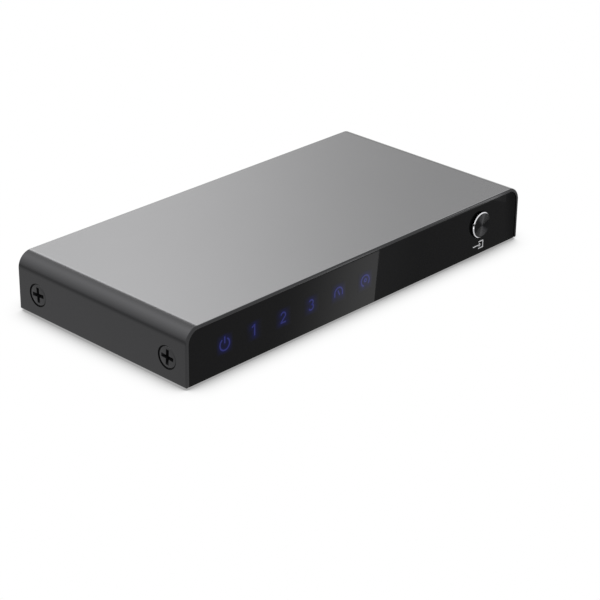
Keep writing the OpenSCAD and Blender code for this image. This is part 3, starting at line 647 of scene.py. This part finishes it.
# the floor is white to the camera, less the share of its near surroundings that the object hides
paperFloor, tree = blankMaterial("paperFloor")
paper = add(tree, "BsdfDiffuse", None, {"Color": linear(stage["floorColour"])})
openShare = add(tree, "AmbientOcclusion", {"samples": stage["shadowSamples"]},
                {"Distance": stage["shadowReach"] * mm})
hidden = add(tree, "Math", {"operation": "SUBTRACT"}, {0: 1.0, 1: openShare.outputs["AO"]})
curve = add(tree, "Math", {"operation": "POWER"}, {0: hidden.outputs[0], 1: stage["shadowPower"]})
shade = add(tree, "Math", {"operation": "MULTIPLY"}, {0: curve.outputs[0], 1: stage["shadowDepth"]})
shade = add(tree, "Math", {"operation": "MINIMUM"}, {0: shade.outputs[0], 1: stage["deepestShadow"]})
seen = add(tree, "Math", {"operation": "MULTIPLY"},
           {0: shade.outputs[0], 1: add(tree, "LightPath").outputs["Is Camera Ray"]})
level = add(tree, "Math", {"operation": "SUBTRACT"}, {0: 1.0, 1: seen.outputs[0]})
glow = add(tree, "Emission", None, {"Color": (1, 1, 1, 1), "Strength": level.outputs[0]})
both = add(tree, "MixShader", None, {0: mirroredRay(tree), 1: paper.outputs[0], 2: glow.outputs[0]})
add(tree, "OutputMaterial", None, {"Surface": both.outputs[0]})
half = stage["floorSize"] / 2
stageObject("floor", [(-half, -half, 0), (half, -half, 0), (half, half, 0), (-half, half, 0)],
            [(0, 1, 2, 3)], paperFloor)

# under the case no light falls: a matt black sheet lies there as painted shade, clear of the edges that face
# the camera
under = dict(colour="#161616", inset=1.8, lift=0.04)
deepShade, tree = blankMaterial("deepShade")
sheetShade = add(tree, "BsdfDiffuse", None, {"Color": linear(under["colour"])})
add(tree, "OutputMaterial", None, {"Surface": sheetShade.outputs[0]})
shadeX, shadeFront = caseHigh[0] - under["inset"], caseLow[1] + under["inset"]
shadeRear = nodeBox("rear_panel")[1][1]
underCase = [(-shadeX, shadeFront), (shadeX, shadeFront), (shadeX, shadeRear), (-shadeX, shadeRear)]
stageObject("underCase", [(x * mm, y * mm, under["lift"] * mm) for x, y in underCase],
            [(0, 1, 2, 3)], deepShade)

world = bpy.data.worlds.new("studio")
bpy.context.scene.world = world
world.use_nodes = True
tree = world.node_tree
tree.nodes.clear()
level = add(tree, "MapRange", None, {"Value": mirroredRay(tree), "To Min": stage["ambient"], "To Max": 1.0})
sky = add(tree, "Background", None, {"Color": (1, 1, 1, 1), "Strength": level.outputs[0]})
add(tree, "OutputWorld", None, {"Surface": sky.outputs[0]})

# a lit card, whose brightness is stored at its points
cardLight, tree = blankMaterial("cardLight")
stored = add(tree, "Attribute", {"attribute_name": "brightness"})
light = add(tree, "Emission", None, {"Color": (1, 1, 1, 1), "Strength": stored.outputs["Fac"]})
add(tree, "OutputMaterial", None, {"Surface": light.outputs[0]})


def addCard(name, points, brightness):
    # points is a grid in metres, brightness a value for each of them
    card = stageObject(name, points.reshape(-1, 3), gridQuads(*points.shape[:2], wrapCols=False), cardLight)
    card.visible_camera = card.visible_diffuse = card.visible_shadow = card.visible_transmission = False
    stored = card.data.attributes.new("brightness", "FLOAT", "POINT")
    stored.data.foreach_set("value", np.asarray(brightness, np.float32).ravel())


# Soft boxes: patches of a sphere, given by compass angle (0 is +X, 90 is +Y) and height in degrees;
# the large one lights the top, and two small ones stand in front of the button, lower than the top, so
# that the top mirrors neither of them; rise and fall below are ranges of compass angle, foot and head
# ranges of height
topLight = dict(metal=0.0435, flatPower=5, level=0.23, more=0.21, moreAround=(37.5, 50.5), lift=0.2,
                liftHeight=(24, 32), rise=(8, 16), fall=(60, 74), foot=(9, 14), head=(32, 35))
bendLight = dict(level=0.6, more=1.1, moreAround=(60, 117), peak=46, rise=(14, 40), head=(58, 72))
edgeLight = dict(level=4.2, rise=(-36, 24), fall=(40, 50), foot=(31, 36), head=(54, 62))
faceLight = dict(level=3.5, rise=(-78, -62), fall=(-34, -22), foot=(-8, -5))
ringDark = dict(depth=0.95, rise=(-142, -138), fall=(-122, -118), foot=(-9, -5))


def topBrightness(around, height):
    # the top mirrors 21 to 27 degrees: what it shows rises to the left of the picture, and is divided
    # by the metal's share of mirrored light, which grows as the view gets flatter
    flat = (1 - np.sin(np.radians(height))) ** topLight["flatPower"]
    mirrored = topLight["metal"] + (1 - topLight["metal"]) * flat
    shown = topLight["level"] + topLight["more"] * ease(around, *topLight["moreAround"])
    top = shown / mirrored * (1 + topLight["lift"] * ease(height, *topLight["liftHeight"]))
    band = window(height, topLight["foot"], topLight["head"])
    band = band * window(around, topLight["rise"], topLight["fall"])
    # the bend mirrors what is further round: brightest at middle height, fading down to the horizon and up
    bend = bendLight["level"] + bendLight["more"] * ease(around, *bendLight["moreAround"])
    bend = bend * np.clip(height / bendLight["peak"], 0, 1) * (1 - ease(height, *bendLight["head"]))
    bend = 1 + bend * ease(around, *bendLight["rise"])
    # the round front edge mirrors what is nearer to the right, and pales towards the top
    edge = edgeLight["level"] * window(around, edgeLight["rise"], edgeLight["fall"])
    edge = edge * window(height, edgeLight["foot"], edgeLight["head"])
    return bend + (top - bend) * band + edge


def faceBrightness(around, height):
    # a bright strip in front, which the flanks of the button's rings mirror above and below its middle
    across = window(around, faceLight["rise"], faceLight["fall"])
    return 1 + faceLight["level"] * across * ease(height, *faceLight["foot"])


def ringShade(around, height):
    # a dark patch in front of the button, which breaks its bright ring
    across = window(around, ringDark["rise"], ringDark["fall"])
    return 1 - ringDark["depth"] * across * ease(height, *ringDark["foot"])


buttonFace = buttonCentre + np.array([0, buttonLow[1], 0])
softBoxes = [
    dict(name="topBox", centre=np.zeros(3), radius=5000, around=(-40, 160), height=(3, 75),
         brightness=topBrightness),
    dict(name="faceBox", centre=buttonFace, radius=28, around=(-80, -20), height=(-8, 14),
         brightness=faceBrightness),
    dict(name="ringCard", centre=buttonFace, radius=60, around=(-142, -118), height=(-9, 6),
         brightness=ringShade),
]
for box in softBoxes:
    # a point for each degree of both ranges
    around, height = np.meshgrid(np.arange(box["around"][0], box["around"][1] + 1),
                                 np.arange(box["height"][0], box["height"][1] + 1), indexing="ij")
    a, h = np.radians(around), np.radians(height)
    outward = np.stack([np.cos(a) * np.cos(h), np.sin(a) * np.cos(h), np.sin(h)], -1)
    addCard(box["name"], (box["centre"] + box["radius"] * outward) * mm, box["brightness"](around, height))

# Floor cards: a bright patch that the panel mirrors, ending at a slanting edge, a darkening to its right,
# and a grey stretch of floor to the left that darkens the foot of the bend
floorCard = dict(edgeNear=(6.12, -35.4), edgeFar=(27.42, -52.85), near=-34.4, far=-57.0, left=78, right=72,
                 lift=0.2, steps=(60, 12), most=3.9, brightReach=0.62, brightPower=1.5)
# each step of the dark card: how much it changes the level, and over which share of its width
darkSteps = [(-0.28, 0, 0.3), (-0.34, 0.82, 0.9), (0.3, 0.95, 1)]
# the grey floor: its level at the wall, and its steps over millimetres away from the wall
greySide = dict(level=0.93, steps=[(-0.3, 22, 50), (0.37, 200, 500)], reach=640, depth=(-80, 700), points=65)


def stepped(level, steps, value):
    # a level that changes smoothly by each step's amount over its own range
    return level + sum(change * ease(value, low, high) for change, low, high in steps)


share, depth = np.meshgrid(np.linspace(0, 1, floorCard["steps"][0]),
                           np.linspace(floorCard["near"], floorCard["far"], floorCard["steps"][1]),
                           indexing="ij")
edgeRun = np.subtract(floorCard["edgeFar"], floorCard["edgeNear"])
edgeX = floorCard["edgeNear"][0] + edgeRun[0] / edgeRun[1] * (depth - floorCard["edgeNear"][1])
fall = (1 - ease(share, 0, floorCard["brightReach"])) ** floorCard["brightPower"]
brightPatch = 1 + (floorCard["most"] - 1) * fall
lift = np.full_like(depth, floorCard["lift"])
addCard("brightCard", np.stack([edgeX - share * floorCard["left"], depth, lift], -1) * mm, brightPatch)
addCard("darkCard", np.stack([edgeX + share * floorCard["right"], depth, lift], -1) * mm,
        stepped(1, darkSteps, share))
away, depth = np.meshgrid(np.linspace(0, greySide["reach"], greySide["points"]),
                          np.array(greySide["depth"]), indexing="ij")
lift = np.full_like(away, floorCard["lift"])
addCard("sideCard", np.stack([caseLow[0] - away, depth, lift], -1) * mm,
        stepped(greySide["level"], greySide["steps"], away))

# Lamps: one broad key from the upper left front, and a weaker fill from the right
lamps = [
    dict(name="key", place=(-0.5, -0.7, 1.1), size=0.9, power=7.0),
    dict(name="fill", place=(0.9, 0.2, 0.9), size=0.8, power=3.0),
]
for lamp in lamps:
    light = bpy.data.lights.new(lamp["name"], "AREA")
    light.size = lamp["size"]
    light.energy = lamp["power"]
    lampObject = bpy.data.objects.new(lamp["name"], light)
    bpy.context.scene.collection.objects.link(lampObject)
    back = np.array(lamp["place"]) / np.linalg.norm(lamp["place"])
    right = np.cross((0, 0, 1), back)
    right /= np.linalg.norm(right)
    turn = np.stack([right, np.cross(back, right), back], 1)
    lampObject.matrix_world = Matrix.Translation(lamp["place"]) @ Matrix(turn.tolist()).to_4x4()
    lampObject.visible_camera = lampObject.visible_glossy = False
print("stage and lamps made")

# Camera: fitted to the case's corners in the photograph; offsets move the picture's middle
camera = dict(azimuthDeg=-46.539, elevationDeg=25.868, rollDeg=0.684, distance=576.62, across=6.293,
              upward=-8.541, focalPixels=1967.63, picturePixels=600, sensor=36.0, clip=(0.01, 20))


def placeCamera():
    azimuth, elevation = math.radians(camera["azimuthDeg"]), math.radians(camera["elevationDeg"])
    roll, level = math.radians(camera["rollDeg"]), math.cos(elevation)
    back = np.array([math.sin(azimuth) * level, -math.cos(azimuth) * level, math.sin(elevation)])
    right = np.cross((0, 0, 1), back)
    right /= np.linalg.norm(right)
    up = np.cross(back, right)
    rolledRight = math.cos(roll) * right + math.sin(roll) * up
    rolledUp = -math.sin(roll) * right + math.cos(roll) * up
    eye = camera["across"] * rolledRight + camera["upward"] * rolledUp + camera["distance"] * back
    eye[2] += caseLow[2]
    data = bpy.data.cameras.new("camera")
    data.sensor_width = camera["sensor"]
    data.lens = camera["sensor"] * camera["focalPixels"] / camera["picturePixels"]
    data.clip_start, data.clip_end = camera["clip"]
    made = bpy.data.objects.new("camera", data)
    bpy.context.scene.collection.objects.link(made)
    turn = Matrix(np.stack([rolledRight, rolledUp, back], 1).tolist()).to_4x4()
    made.matrix_world = Matrix.Translation((eye * mm).tolist()) @ turn
    bpy.context.scene.camera = made


placeCamera()
bpy.context.scene.view_settings.view_transform = "Standard"
print("camera placed")
